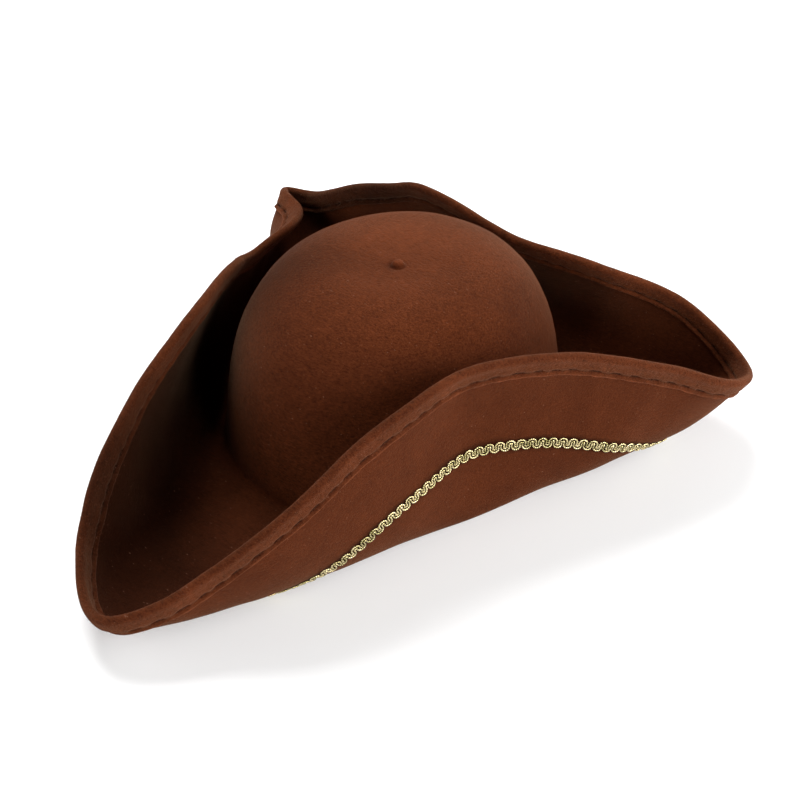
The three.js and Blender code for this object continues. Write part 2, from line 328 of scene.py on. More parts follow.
# Adds a shader node. Inputs are numbers, colours or the sockets that they take their value from.
def addNode(tree, kind, inputs=None, **settings):
    node = tree.nodes.new(kind)
    for name, value in settings.items():
        setattr(node, name, value)
    for name, value in (inputs or {}).items():
        socket = node.inputs[name]
        if isinstance(value, bpy.types.NodeSocket):
            tree.links.new(value, socket)
        else:
            socket.default_value = value
    return node


# An empty material: its node tree, with a shader wired to the output.
def newMaterial(name):
    material = bpy.data.materials.new(name)
    material.use_nodes = True
    tree = material.node_tree
    tree.nodes.clear()
    output = tree.nodes.new("ShaderNodeOutputMaterial")
    shader = tree.nodes.new("ShaderNodeBsdfPrincipled")
    tree.links.new(shader.outputs["BSDF"], output.inputs["Surface"])
    return material, tree, shader


# Noise on object coordinates, stretched and turned by a Mapping node.
def noise(tree, place, scale, stretch=(1, 1, 1), turn=(0, 0, 0), detail=3.0, roughness=0.6, twist=0.0):
    mapping = addNode(tree, "ShaderNodeMapping", {"Vector": place, "Scale": stretch, "Rotation": turn})
    settings = {"Vector": mapping.outputs[0], "Scale": scale, "Detail": detail}
    settings["Roughness"] = roughness
    settings["Distortion"] = twist
    return addNode(tree, "ShaderNodeTexNoise", settings).outputs["Fac"]


# A value carried in a straight line from one pair of limits to another, and held inside them.
def remap(tree, value, low, high, newLow=0.0, newHigh=1.0):
    settings = {"Value": value, "From Min": low, "From Max": high, "To Min": newLow, "To Max": newHigh}
    return addNode(tree, "ShaderNodeMapRange", settings).outputs[0]


# A shader sum on numbers or sockets: its operation is named as Blender names it.
def calculate(tree, operation, first, second=0.0, third=0.0):
    inputs = {0: first, 1: second, 2: third}
    return addNode(tree, "ShaderNodeMath", inputs, operation=operation).outputs[0]


# Two colours mixed by a factor. The Mix node has its sockets for colours behind those for numbers
# and vectors, so they are named by number.
def mixColours(tree, factor, first, second, blend="MIX"):
    inputs = {0: factor, 6: first, 7: second}
    node = addNode(tree, "ShaderNodeMix", inputs, data_type="RGBA", blend_type=blend)
    return node.outputs[2]


# Short pressed fibres: noise drawn out along three directions, the strongest one showing.
def fibres(tree, place, scale):
    layers = []
    for turn in ((0.4, 0.2, 0.3), (1.3, 0.9, 1.5), (2.2, 1.9, 2.6)):
        layers.append(noise(tree, place, scale, (0.16, 1, 1), turn, detail=2.0, twist=0.6))
    return calculate(tree, "MAXIMUM", calculate(tree, "MAXIMUM", layers[0], layers[1]), layers[2])


# Grain drawn out round the crown's axis: noise of the direction from the axis, as a sine and a
# cosine, of the distance from it and of the height.
def circularGrain(tree, place):
    across = woolLook["grainAcross"]
    parts = addNode(tree, "ShaderNodeSeparateXYZ", {"Vector": place}).outputs
    middle = placeInFrame * millimetre
    east = calculate(tree, "SUBTRACT", parts[0], float(middle[0]))
    north = calculate(tree, "SUBTRACT", parts[1], float(middle[1]))
    angle = calculate(tree, "ARCTAN2", north, east)
    squares = calculate(tree, "MULTIPLY_ADD", east, east, calculate(tree, "MULTIPLY", north, north))
    away = calculate(tree, "SQRT", squares)
    direction = addNode(tree, "ShaderNodeCombineXYZ", {
        "X": calculate(tree, "MULTIPLY", calculate(tree, "COSINE", angle), woolLook["grainRound"]),
        "Y": calculate(tree, "MULTIPLY", calculate(tree, "SINE", angle), woolLook["grainRound"]),
        "Z": calculate(tree, "MULTIPLY", away, across),
    })
    settings = {"Vector": direction.outputs[0], "W": calculate(tree, "MULTIPLY", parts[2], across)}
    settings.update({"Scale": 1.0, "Detail": 2.0, "Roughness": 0.7})
    return addNode(tree, "ShaderNodeTexNoise", settings, noise_dimensions="4D").outputs["Fac"]


# What the felt of the hat and of its binding have in common. Each layer of the texture has the
# levels of its noise that are read, the change of lightness that they become, and its relief.
woolLook = {
    "fleck": (0.22, 0.11, 0.07, 1),
    "roughness": 0.95,
    "specular": 0.03,
    "sheenRoughness": 0.35,
    "sheenTint": (1.0, 0.62, 0.38, 1),
    "grainRound": 40.0,
    "grainAcross": 1300.0,
    "grainShade": (0.3, 0.7, -0.28, 0.32),
    "grainRelief": 0.9,
    "layers": {
        "strands": ((0.45, 0.8, -0.34, 0.46), 1.0),
        "tufts": ((0.3, 0.7, -0.22, 0.22), 1.2),
        "blotches": ((0.25, 0.75, -0.12, 0.12), 0.8),
        "nap": ((0.25, 0.75, -0.2, 0.2), 0.7),
    },
    "darkest": 0.15,
    "bumpDistance": 0.0006,
}


# Wool felt: two close browns in clouds, short fibres over a fine nap, and faint rings on the crown
# where the painted value asks for them. Another painted value, of painted light and shade, makes it
# lighter or darker.
def makeFeltMaterial(name, look):
    material, tree, shader = newMaterial(name)
    place = addNode(tree, "ShaderNodeTexCoord").outputs["Object"]
    layers = {
        "strands": fibres(tree, place, 1500),
        "tufts": noise(tree, place, 700, detail=3.0, roughness=0.75, twist=0.4),
        "blotches": noise(tree, place, 150, detail=3.0, roughness=0.7),
        "nap": noise(tree, place, 2600, detail=2.0, roughness=0.8),
    }
    rings = circularGrain(tree, place)
    ringed = addNode(tree, "ShaderNodeAttribute", attribute_name="ringed").outputs["Fac"]
    # Painted light and shade, read from the mesh: it makes the felt lighter or darker.
    paintedLightAndShade = addNode(tree, "ShaderNodeAttribute", attribute_name="paintedLightAndShade").outputs["Fac"]
    texture = 0.0
    relief = calculate(tree, "MULTIPLY", rings, woolLook["grainRelief"])
    relief = calculate(tree, "MULTIPLY", relief, ringed)
    for layer, (shades, height) in woolLook["layers"].items():
        texture = calculate(tree, "ADD", remap(tree, layers[layer], *shades), texture)
        relief = calculate(tree, "MULTIPLY_ADD", layers[layer], height, relief)
    lightness = calculate(tree, "MULTIPLY_ADD", texture, look["contrast"], 1.0)
    ringShade = remap(tree, rings, *woolLook["grainShade"])
    lightness = calculate(tree, "MULTIPLY_ADD", ringed, ringShade, lightness)
    lightness = calculate(tree, "MULTIPLY", lightness, calculate(tree, "ADD", paintedLightAndShade, 1.0))
    lightness = calculate(tree, "MAXIMUM", lightness, woolLook["darkest"])
    channels = {"Red": lightness, "Green": lightness, "Blue": lightness}
    grey = addNode(tree, "ShaderNodeCombineColor", channels)
    clouds = remap(tree, noise(tree, place, 26, detail=4.0, roughness=0.65), 0.32, 0.68)
    base = mixColours(tree, clouds, look["dark"], look["light"])
    coloured = mixColours(tree, 1.0, base, grey.outputs[0], "MULTIPLY")
    specks = noise(tree, place, 900, (0.35, 1, 1), (0.7, 0.4, 1.1), detail=1.0)
    coloured = mixColours(tree, remap(tree, specks, 0.74, 0.8, 0, 0.5), coloured, woolLook["fleck"])
    bump = {"Height": relief, "Strength": look["bump"], "Distance": woolLook["bumpDistance"]}
    tree.links.new(coloured, shader.inputs["Base Color"])
    tree.links.new(addNode(tree, "ShaderNodeBump", bump).outputs[0], shader.inputs["Normal"])
    shader.inputs["Roughness"].default_value = woolLook["roughness"]
    shader.inputs["Specular IOR Level"].default_value = woolLook["specular"]
    shader.inputs["Sheen Weight"].default_value = look["sheen"]
    shader.inputs["Sheen Roughness"].default_value = woolLook["sheenRoughness"]
    shader.inputs["Sheen Tint"].default_value = woolLook["sheenTint"]
    return material


goldGimp = {
    "fromRim": 56,
    "period": 6.0,
    "sway": 2.0,
    "loopiness": 0.62,
    "cordRadius": 0.5,
    "cordSpread": 0.76,
    "stepsPerPeriod": 26,
    "sides": 7,
    "height": 1.62,  # of the cords, out from the felt's middle
    "wobble": 0.12,
    "twistPitch": 1.1,
    "bright": (1.0, 0.84, 0.50, 1),
    "deep": (0.13, 0.115, 0.012, 1),
    "roughness": 0.26,
}

feltBody = {
    "columns": 480,
    "pimpleRings": 14,
    "pimpleShares": (0.004, 0.066),
    "crownRings": 30,
    "crownStart": 0.075,
    "crownSpacing": 1.15,
    "footRings": 5,
    "brimRings": 48,
    "unevenness": 0.12,
    "pimpleRadius": 3.8,
    "pimpleHeight": 2.7,
    "moatDepth": 0.15,
    # Painted light and shade on the felt: lighter top and pimple cap, shade and a cast shadow round the
    # pimple, light on the foot and flat ring, shade inside the left flap and under the braid.
    "topLight": 0.36,
    "capLight": 0.3,
    "wallShade": 0.4,
    "shadeFrom": (-1.5, -4.6),
    "shadeSize": 2.6,
    "shadeDepth": 0.4,
    "footLight": 0.25,
    "ringLight": (0.2, 0.08),
    "dimFlap": 325,
    "dimming": 0.69,
    "gimpShade": 0.78,
    "gimpShadeWidth": 3.9,
    # Painted shade and light on stretches of the crown: degrees, spread, and change at its wall and on
    # its top.
    "crownShade": [
        (305, 28, -0.6, -0.45),
        (115, 30, -0.3, -0.06),
        (223, 70, 0.0, 0.16),
        (40, 60, 0.32, -0.05),
    ],
    "look": {
        "dark": (0.055, 0.0130, 0.0042, 1),
        "light": (0.072, 0.0174, 0.0057, 1),
        "sheen": 0.11,
        "bump": 0.6,
        "contrast": 0.68,
    },
}


# Rings of the felt, as shares of the crown's curve, of its foot and of the brim's curve.
def feltRings():
    start = feltBody["crownStart"]
    spread = np.linspace(0, 1, feltBody["crownRings"]) ** feltBody["crownSpacing"]
    pimple = np.linspace(*feltBody["pimpleShares"], feltBody["pimpleRings"])
    crown = np.append(pimple, start + (1 - start) * spread)
    foot = np.arange(1, feltBody["footRings"] + 1) / feltBody["footRings"]
    brim = np.arange(feltBody["brimRings"] + 1) / feltBody["brimRings"]
    return crown[None, :], foot[None, :], brim[None, :]


# The moulded pimple: a dome (1 - a^5) / (1 + a^5) of the distance a from the crown's top, counted
# in pimple radii, in a shallow moat that is a bell curve round a = 1.2.
def pimpleLift(away):
    dome = np.maximum((1 - away ** 5) / (1 + away ** 5), 0) * feltBody["pimpleHeight"]
    return dome - bell(away - 1.2, 0.3) * feltBody["moatDepth"]


# Faces of the felt: both skins, the edge that joins them at the rim, and a fan at each pole.
def feltFaces(columns, rings):
    skin = gridFaces(columns, rings)
    size = columns * rings
    first = np.arange(columns) * rings
    after = np.roll(first, -1)
    last = first + rings - 1
    lastAfter = after + rings - 1
    edge = np.stack([last, size + last, size + lastAfter, lastAfter], axis=1)
    upperFan = np.stack([np.full(columns, 2 * size), first, after], axis=1)
    lowerFan = np.stack([np.full(columns, 2 * size + 1), size + after, size + first], axis=1)
    return [skin, skin[:, ::-1] + size, edge, upperFan, lowerFan]


# Painted light and shade on the crown's felt: a lighter top, a painted highlight on the pimple's
# cap, painted shade round its wall and a painted cast shadow, and bell curves of painted shade and
# light round the crown that change from its wall to its top.
def crownPaintedLight(at, shares, away, fromSummit):
    paintedLightAndShade = feltBody["topLight"] * ramp(shares, 0.66, 0.26) + feltBody["capLight"] * ramp(away, 0.8, 0.65)
    gone = np.linalg.norm(fromSummit - np.array(feltBody["shadeFrom"]), axis=-1)
    paintedLightAndShade = paintedLightAndShade - feltBody["shadeDepth"] * bell(gone, feltBody["shadeSize"]) * (away > 0.8)
    paintedLightAndShade = paintedLightAndShade - feltBody["wallShade"] * bell(away - 0.98, 0.2)
    low = ramp(shares, 0.45, 0.75)
    for middle, spread, atWall, onTop in feltBody["crownShade"]:
        change = atWall * low + onTop * (1 - low) * ramp(shares, 0, 0.3)
        paintedLightAndShade = paintedLightAndShade + change * bell(turnFrom(at, middle), spread)
    return paintedLightAndShade


# Painted light and shade on the brim's upper felt: lighter on the flat ring, darker round the left flap.
def brimPaintedLight(at, shares):
    paintedLightAndShade = np.zeros(shares.shape)
    paintedLightAndShade[0, :len(feltBody["ringLight"])] = feltBody["ringLight"]
    reach = ramp(turnFrom(at, feltBody["dimFlap"]), 98, 28)
    return paintedLightAndShade - feltBody["dimming"] * reach * ramp(shares, 0, 0.3)


# Lightness of the brim's lower felt: a dark band under the braid, where the wool lies in its shade.
def underGimp(brim):
    steps = np.linalg.norm(np.diff(brim, axis=1), axis=-1)[:, ::-1]
    fromRim = np.concatenate([np.zeros((len(brim), 1)), np.cumsum(steps, axis=1)], axis=1)[:, ::-1]
    beside = (fromRim - goldGimp["fromRim"]) / feltBody["gimpShadeWidth"]
    return -feltBody["gimpShade"] * np.exp(-beside ** 6)


# The felt sheet: columns round the hat, rings from the crown's top down to its foot and out to the
# rim, each point moved half a thickness along the normal for the upper skin and for the lower one.
def makeFelt():
    coarseTurn = np.linspace(0, 360, 1441)
    covered = lengthAlong(brimPoint(coarseTurn, 1.0))
    blend = 0.5 * covered / covered[-1] + 0.5 * coarseTurn / 360
    columns = feltBody["columns"]
    at = np.interp(np.arange(columns) / columns, blend, coarseTurn)[:, None]
    crownShares, footShares, brimShares = feltRings()

    crown = crownPoint(at, crownShares)
    summit = crownPoint(np.zeros((1, 1)), np.zeros((1, 1)))[0, 0]
    fromSummit = crown[..., :2] - summit[:2]
    away = np.linalg.norm(fromSummit, axis=-1) / feltBody["pimpleRadius"]
    fade = ramp(crownShares, 0, 0.3) * ramp(crownShares, 1.02, 0.82)
    crownLift = unevenness(crown, feltBody["unevenness"]) * fade + pimpleLift(away)
    foot = footPoint(at, footShares)
    footNormal = normalOf(footPoint, at, footShares)
    footNormal[:, -1] = (0, 0, 1)
    brim = brimPoint(at, brimShares)
    brimNormal = normalOf(brimPoint, at, brimShares)
    brimNormal[:, 0] = (0, 0, 1)
    brimLift = unevenness(brim, feltBody["unevenness"]) * ramp(brimShares, 0, 0.25)

    middle = np.concatenate([crown, foot, brim], axis=1)
    normals = np.concatenate([normalOf(crownPoint, at, crownShares), footNormal, brimNormal], axis=1)
    lift = np.concatenate([crownLift, np.zeros(foot.shape[:2]), brimLift], axis=1)[..., None]
    rings = middle.shape[1]
    upper = middle + normals * (halfFelt + lift)
    lower = middle + normals * (lift - halfFelt)
    lower[..., 2] = np.maximum(lower[..., 2], 0)
    top = summit + np.array([0, 0, feltBody["pimpleHeight"]])
    poles = np.stack([top + [0, 0, halfFelt], top - [0, 0, halfFelt]])
    points = np.concatenate([upper.reshape(-1, 3), lower.reshape(-1, 3), poles])
    material = makeFeltMaterial("chocolateFelt", feltBody["look"])
    piece = makePiece("feltHat", points, feltFaces(columns, rings), material, ["felt_body"])

    ringedRow = np.append(ramp(crownShares[0], 0.18, 0.38), np.zeros(rings - crownShares.shape[1]))
    ringed = np.tile(ringedRow, columns)
    paint(piece, "ringed", np.concatenate([ringed, ringed * 0, [0, 0]]))
    # Painted light and shade: on the crown, the foot and the brim, under the braid and at the top pole.
    footPaintedLight = np.tile(np.linspace(0, feltBody["footLight"], footShares.shape[1]), (columns, 1))
    paintedLightAndShade = np.concatenate([
        crownPaintedLight(at, crownShares, away, fromSummit),
        footPaintedLight,
        brimPaintedLight(at, brimShares),
    ], axis=1)
    paintedShadeBelow = np.zeros((columns, rings))
    paintedShadeBelow[:, -brimShares.shape[1]:] = underGimp(brim)
    polesPaintedLight = [feltBody["capLight"], 0]
    paint(piece, "paintedLightAndShade", np.concatenate([paintedLightAndShade.reshape(-1), paintedShadeBelow.reshape(-1), polesPaintedLight]))


rimBinding = {
    "columns": 1200,
    "stitchPitch": 11.6,
    "grooveAt": 9.0,
    "stitchDepth": 0.75,
    "betweenStitches": 0.36,
    "innerDepth": 0.45,  # share of the stitches' depth that shows on the inner face
    "grooveHalfWidth": 0.75,
    "pullWidth": 2.6,
    "pullDepth": 0.12,
    "ripple": 0.025,
    "edgeWander": 0.22,
    # Painted shade in the stitch groove and a painted highlight on the lip beside it.
    "grooveShadePaint": (0.62, 0.4, 0.8),  # width, and darkening on the inner and the outer face
    "lipHighlightPaint": (0.42, 0.12, 0.8),
    # Painted shade and light on stretches of the inner face: degrees, spread and change of lightness.
    "innerShade": [(216, 28, -0.6), (140, 14, -0.3), (160, 22, 0.4), (343, 18, -0.6)],
    # Half of the strip's section: length in from the rim, and height over the felt's middle.
    "section": [
        (12.3, 0.8), (12.4, 1.25), (12.32, 1.85), (12.05, 2.4), (11.6, 2.72), (11.1, 2.66),
        (10.6, 2.46), (10.1, 2.15), (9.7, 1.9), (9.35, 1.72), (9.0, 1.64), (8.7, 1.74),
        (8.4, 1.98), (8.0, 2.26), (7.5, 2.46), (6.8, 2.56), (6.0, 2.58), (5.0, 2.56),
        (4.0, 2.54), (3.0, 2.57), (2.1, 2.62), (1.3, 2.62), (0.5, 2.47), (-0.25, 2.1),
        (-0.85, 1.5), (-1.25, 0.8), (-1.4, 0.0),
    ],
    "look": {
        "dark": (0.064, 0.0158, 0.0053, 1),
        "light": (0.094, 0.0240, 0.0084, 1),
        "sheen": 0.12,
        "bump": 0.85,
        "contrast": 1.05,
    },
}


# Stitches per face, and where each column stands between one stitch and the next: the length along
# the rim in stitch pitches, with two small sines that make the pitch uneven.
def stitchPhase(at):
    covered = lengthAlong(brimPoint(fineTurn, 1.0))
    count = round(covered[-1] / rimBinding["stitchPitch"])
    turns = np.interp(np.mod(at, 360), fineTurn, covered / covered[-1] * count)
    once = turns * 2 * np.pi / count
    return turns + 0.12 * np.sin(once * 17) + 0.08 * np.sin(once * 29 + 1), count


# Binding: the section carried round the rim, drawn in where the stitches pull, with soft ripples.
def makeBinding():
    at, _ = anglesAlong(0, rimBinding["columns"])
    half = np.array(rimBinding["section"])
    inner = np.array([(0.3, 0.8), (4, 0.8), (8, 0.8)])
    flip = np.array([1, -1])
    section = np.concatenate([half, half[-2::-1] * flip, inner[::-1] * flip, inner])
    length = np.tile(section[:, 0], (len(at), 1))
    height = np.tile(section[:, 1], (len(at), 1))
    side = np.sign(height)
    outside = np.abs(section[None, :, 1]) > 0.85
    fromGroove = length - rimBinding["grooveAt"]
    turns, _ = stitchPhase(at)
    phase = turns[:, None] + np.where(side < 0, 0.5, 0)
    pull = np.clip(np.cos(2 * np.pi * (phase - 0.24)) * 1.4, -1, 1)
    depth = np.where(pull > 0, rimBinding["stitchDepth"], rimBinding["betweenStitches"])
    depth = depth * np.where(side > 0, rimBinding["innerDepth"], 1)
    sunk = bell(fromGroove, rimBinding["grooveHalfWidth"]) * depth
    sunk = sunk + bell(fromGroove, rimBinding["pullWidth"]) * rimBinding["pullDepth"]
    turn = np.radians(at)[:, None]
    ripple = np.sin(turn * 61 + length * 0.7) + np.sin(turn * 97 - length)
    height = height + side * outside * (rimBinding["ripple"] * ripple - sunk * pull)
    edge = (np.abs(section[None, :, 0]) > 11) & outside
    length = length + edge * rimBinding["edgeWander"] * np.sin(turn * 83 + 2 * np.sin(turn * 19))
    points = onBrim(at, length, height)
    faces = [gridFaces(len(at), len(section), ringClosed=True)]
    material = makeFeltMaterial("bindingFelt", rimBinding["look"])
    piece = makePiece("rimBinding", points, faces, material, ["brim_binding"])

    # Painted shade in the groove, a painted highlight on the lip, and painted shade and light inside.
    outer = section[None, :, 1] < 0
    grooveWidth, grooveInner, grooveOuter = rimBinding["grooveShadePaint"]
    lipWidth, lipInner, lipOuter = rimBinding["lipHighlightPaint"]
    groove = bell(length - rimBinding["grooveAt"], grooveWidth) * outside * (0.35 + 0.65 * (pull > 0))
    lip = bell(length - 11.75, lipWidth) * outside
    paintedLightAndShade = lip * np.where(outer, lipOuter, lipInner) - groove * np.where(outer, grooveOuter, grooveInner)
    innerFace = np.clip(0.5 + section[None, :, 1] / 4, 0, 1)
    for middle, spread, change in rimBinding["innerShade"]:
        paintedLightAndShade = paintedLightAndShade + change * bell(turnFrom(at[:, None], middle), spread) * innerFace
    paint(piece, "paintedLightAndShade", paintedLightAndShade)


stitchThread = {
    "radius": 0.34,
    "sides": 7,
    "steps": 9,
    "share": 0.42,  # of the stitch pitch
    "starts": (0.24, 0.74),  # places in the pitch of the stitches of the inner and the outer face
    "height": 1.42,
    "dip": 1.1,
    "colour": (0.016, 0.005, 0.002, 1),
    "plyColour": (0.05, 0.018, 0.008, 1),
}


# Tubes round rows of points: at each point a circle across the path, whose first direction lies
# across the felt's normal.
def tubeRings(paths, normal, radius, sides, closed):
    if closed:
        along = unit(np.roll(paths, -1, axis=1) - np.roll(paths, 1, axis=1))[:, :, None, :]
    else:
        along = unit(np.gradient(paths, axis=1))[:, :, None, :]
    turn = np.linspace(0, 2 * np.pi, sides, endpoint=False)[:, None]
    across = unit(np.cross(along, normal[:, :, None, :]))
    over = np.cross(across, along)
    return paths[:, :, None, :] + (across * np.cos(turn) + over * np.sin(turn)) * radius


# Faces of many open tubes: their walls, and a cap at each end.
def tubeFaces(count, steps, sides):
    here = np.arange(sides)
    after = (here + 1) % sides
    row = np.arange(steps - 1)[:, None] * sides
    left = row + here
    right = row + after
    one = np.stack([left, left + sides, right + sides, right], axis=-1).reshape(-1, 4)
    starts = np.arange(count)[:, None] * steps * sides
    walls = (one[None] + starts[:, :, None]).reshape(-1, 4)
    return [walls, here + starts, (steps - 1) * sides + here[::-1] + starts]


# Running stitches: short threads in the groove, arched as 1 - x^4 from end to end, whose ends dip
# into the felt. They show on the inner face and on the outer face in turn.
def makeStitches():
    _, count = stitchPhase(np.zeros(1))
    dense = np.linspace(0, 360, 7201)
    turns, _ = stitchPhase(dense)
    turns[-1] = turns[0] + count
    steps = stitchThread["steps"]
    local = np.linspace(-0.5, 0.5, steps)
    arch = np.tile(1 - (2 * local) ** 4, (count, 1)).reshape(-1)
    pieces = []
    normals = []
    for side, start in zip((1, -1), stitchThread["starts"]):
        wanted = np.arange(count)[:, None] + start + local[None, :] * stitchThread["share"]
        wanted = np.mod(wanted - turns[0], count) + turns[0]
        at = np.interp(wanted, turns, dense).reshape(-1)
        height = side * (stitchThread["height"] - stitchThread["dip"] * (1 - arch))
        length = np.full((len(at), 1), rimBinding["grooveAt"])
        points = onBrim(at, length, height[:, None])[:, 0]
        deeper = onBrim(at, length, (height - side)[:, None])[:, 0]
        pieces.append(points.reshape(count, steps, 3))
        normals.append(unit(points - deeper).reshape(count, steps, 3))
    sides = stitchThread["sides"]
    paths = np.concatenate(pieces)
    points = tubeRings(paths, np.concatenate(normals), stitchThread["radius"], sides, False)
    faces = tubeFaces(len(points), steps, sides)
    makePiece("stitchThread", points, faces, makeThreadMaterial("darkThread"))


# Sewing thread: two dark browns in a fine slanting twist.
def makeThreadMaterial(name):
    material, tree, shader = newMaterial(name)
    place = addNode(tree, "ShaderNodeTexCoord").outputs["Object"]
    twist = noise(tree, place, 1800, (0.4, 1, 1), (0.5, 0.8, 0.6), detail=1.0)
    plies = remap(tree, twist, 0.4, 0.6)
    colour = mixColours(tree, plies, stitchThread["colour"], stitchThread["plyColour"])
    tree.links.new(colour, shader.inputs["Base Color"])
    shader.inputs["Roughness"].default_value = 0.9
    shader.inputs["Specular IOR Level"].default_value = 0.08
    bump = addNode(tree, "ShaderNodeBump", {"Height": twist, "Strength": 0.4, "Distance": 0.0003})
    tree.links.new(bump.outputs[0], shader.inputs["Normal"])
    return material


# Metal thread: a slanting wrap that follows the cord's own length, with a painted highlight in
# bright gold on each turn and painted shade in dark olive between the turns.
def makeGoldMaterial(name):
    material, tree, shader = newMaterial(name)
    flat = addNode(tree, "ShaderNodeUVMap", uv_map="along").outputs[0]
    parts = addNode(tree, "ShaderNodeSeparateXYZ", {"Vector": flat})
    slant = calculate(tree, "ADD", parts.outputs[0], parts.outputs[1])
    wrap = calculate(tree, "SINE", calculate(tree, "MULTIPLY", slant, 2 * math.pi))
    place = addNode(tree, "ShaderNodeTexCoord").outputs["Object"]
    patches = noise(tree, place, 320, detail=3.0, roughness=0.7)
    tarnish = noise(tree, place, 40, detail=2.0)
    # Painted highlight on the wrap's crests and painted shade in its grooves, with patches and tarnish.
    shade = remap(tree, wrap, -1, 1, 0.0, 0.8)
    shade = calculate(tree, "ADD", shade, remap(tree, patches, 0.3, 0.7, -0.4, 0.4))
    shade = calculate(tree, "ADD", shade, remap(tree, tarnish, 0.3, 0.7, -0.15, 0.15))
    shade = addNode(tree, "ShaderNodeClamp", {"Value": shade}).outputs[0]
    colour = mixColours(tree, shade, goldGimp["deep"], goldGimp["bright"])
    tree.links.new(colour, shader.inputs["Base Color"])
    shader.inputs["Metallic"].default_value = 0.9
    shader.inputs["Roughness"].default_value = goldGimp["roughness"]
    bump = addNode(tree, "ShaderNodeBump", {"Height": wrap, "Strength": 0.5, "Distance": 0.00015})
    tree.links.new(bump.outputs[0], shader.inputs["Normal"])
    return material


# Gimp braid: a serpentine that swings across the braid's line, made of two cords side by side.
# The sway is a sine of the phase, and a double-speed sine along the line rounds the loops.
def makeGimp():
    _, whole = anglesAlong(goldGimp["fromRim"], 8)
    periods = round(whole / goldGimp["period"])
    steps = periods * goldGimp["stepsPerPeriod"]
    phase = np.arange(steps) / goldGimp["stepsPerPeriod"] * 2 * np.pi
    along = phase / (2 * np.pi) * goldGimp["period"] - goldGimp["loopiness"] * np.sin(2 * phase)
    swing = goldGimp["sway"] * np.sin(phase)
    slopeAlong = np.gradient(along, phase)
    slopeSwing = goldGimp["sway"] * np.cos(phase)
    steep = np.hypot(slopeAlong, slopeSwing)
    sideAlong = -slopeSwing / steep
    sideSwing = slopeAlong / steep
    dense, _ = anglesAlong(goldGimp["fromRim"], 3600)
    dense = np.append(dense, 360)
    measure = np.linspace(0, whole, len(dense))
    cords = []
    lifts = []
    for side in (-1, 1):
        offset = side * goldGimp["cordSpread"]
        run = (along + offset * sideAlong) * whole / (periods * goldGimp["period"])
        at = np.interp(np.mod(run, whole), measure, dense)
        length = goldGimp["fromRim"] + swing + offset * sideSwing
        height = -goldGimp["height"] + goldGimp["wobble"] * np.sin(phase * 2 + side)
        points = onBrim(at, length[:, None], height[:, None])[:, 0]
        inner = onBrim(at, length[:, None], (height + 1)[:, None])[:, 0]
        cords.append(points)
        lifts.append(unit(points - inner))
    paths = np.stack(cords)
    sides = goldGimp["sides"]
    points = tubeRings(paths, np.stack(lifts), goldGimp["cordRadius"], sides, True)
    one = gridFaces(steps, sides, ringClosed=True)
    faces = [np.concatenate([one, one + steps * sides])[:, ::-1]]
    travelled = np.cumsum(np.linalg.norm(np.roll(paths, -1, axis=1) - paths, axis=2), axis=1)
    wraps = np.round(travelled[:, -1] / goldGimp["twistPitch"])
    uv = gimpUv(steps, sides, travelled, wraps)
    makePiece("goldGimp", points, faces, makeGoldMaterial("goldThread"), ["gold_braid"], uv)


# The cord's own coordinates at each face corner: turns of the wrap along it, and turns round it.
def gimpUv(steps, sides, travelled, wraps):
    start = np.concatenate([np.zeros((2, 1)), travelled[:, :-1]], axis=1) / travelled[:, -1:]
    end = travelled / travelled[:, -1:]
    low = np.broadcast_to(np.arange(sides)[None, None, :] / sides, (2, steps, sides))
    high = low + 1 / sides
    startTurns = np.broadcast_to((start * wraps[:, None])[:, :, None], low.shape)
    endTurns = np.broadcast_to((end * wraps[:, None])[:, :, None], low.shape)
    corners = np.stack([
        np.stack([endTurns, low], axis=-1),
        np.stack([endTurns, high], axis=-1),
        np.stack([startTurns, high], axis=-1),
        np.stack([startTurns, low], axis=-1),
    ], axis=3)
    return corners


rimFuzz = {
    "fibres": 11000,
    "radius": 0.04,
    "shortest": 0.5,
    "longest": 1.5,
    "steps": 3,
    "sides": 3,
    "seed": 7,
    "slant": 0.8,
    "curl": 0.35,
    "colour": (0.105, 0.029, 0.0105, 1),
    "tipColour": (0.17, 0.056, 0.022, 1),
}


# Loose wool on the binding: thin curled fibres that stand out from its skin, closed at both ends.
# Each one starts on the section, leans by a random slope and bends by the square of its length.
def makeFuzz():
    dice = np.random.default_rng(rimFuzz["seed"])
    count = rimFuzz["fibres"]
    steps = rimFuzz["steps"]
    sides = rimFuzz["sides"]
    at = np.sort(dice.uniform(0, 360, count))
    length = dice.uniform(-1.45, 12.0, count)
    half = np.array(rimBinding["section"])[::-1]
    outward = dice.choice([-1, 1], count)
    height = np.interp(length, half[:, 0], half[:, 1]) * outward
    root = onBrim(at, length[:, None], (height * 0.94)[:, None])[:, 0]
    middle = onBrim(at, np.maximum(length, 1.0)[:, None], np.zeros((count, 1)))[:, 0]
    away = unit(root - middle)
    slope = unit(dice.normal(size=(count, 3)))
    bend = unit(dice.normal(size=(count, 3)))
    size = dice.uniform(rimFuzz["shortest"], rimFuzz["longest"], count)[:, None]
    straight = size * unit(away + rimFuzz["slant"] * slope)
    share = np.linspace(0, 1, steps)[None, :, None]
    curled = size * rimFuzz["curl"] * bend
    paths = root[:, None] + straight[:, None] * share + curled[:, None] * share ** 2
    span = paths[:, -1] - paths[:, 0]
    across = unit(np.cross(span, bend + 0.01))
    over = unit(np.cross(across, span))
    turn = np.linspace(0, 2 * np.pi, sides, endpoint=False)[None, :, None]
    ring = across[:, None] * np.cos(turn) + over[:, None] * np.sin(turn)
    thin = np.linspace(1, 0.4, steps)[None, :, None, None] * rimFuzz["radius"]
    points = paths[:, :, None, :] + ring[:, None] * thin
    makePiece("rimFuzz", points, tubeFaces(count, steps, sides), makeWoolMaterial("looseWool"))


